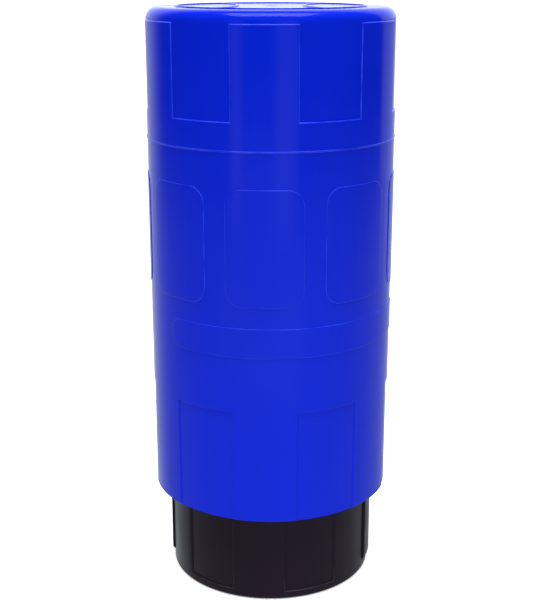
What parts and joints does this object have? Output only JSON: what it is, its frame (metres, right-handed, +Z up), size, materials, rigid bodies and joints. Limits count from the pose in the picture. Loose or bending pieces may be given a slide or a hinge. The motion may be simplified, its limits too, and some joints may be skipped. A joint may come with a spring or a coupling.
{
  "type": "tennis ball can",
  "caption": "Screw-down tennis ball can: a closed cover turns down over an open tube for the balls, and a sealed flange squeezes the air between them.",
  "frame": {"origin": "centre of the foot, on the surface that the can stands on", "axes": "+Z up along the can's axis, from the foot to the closed top; -Y is the front"},
  "size_m": [0.0925, 0.0924, 0.2194],
  "materials": {
    "cover_plastic": "deep blue injection-moulded plastic, glossy",
    "base_plastic": "black injection-moulded plastic, satin",
    "seal_rubber": "black nitrile rubber, lightly greased"
  },
  "bodies": {
    "base": {"base_tube": "base_plastic"},
    "seals": {"seal_ring_lower": "seal_rubber", "seal_ring_upper": "seal_rubber"},
    "cover": {"cover": "cover_plastic"}
  },
  "joints": [
    {"name": "cover_turn", "type": "hinge", "parent": "base", "child": "seals", "pos_m": [0, 0, 0], "axis": [0, 0, 1], "range_deg": [0, 2280]},
    {"name": "cover_rise", "type": "slide", "parent": "seals", "child": "cover", "axis": [0, 0, 1], "range_m": [0, 0.19]}
  ],
  "couplings": [
    {"joint": "cover_rise", "follows": "cover_turn", "m_per_rad": 0.0047746}
  ]
}
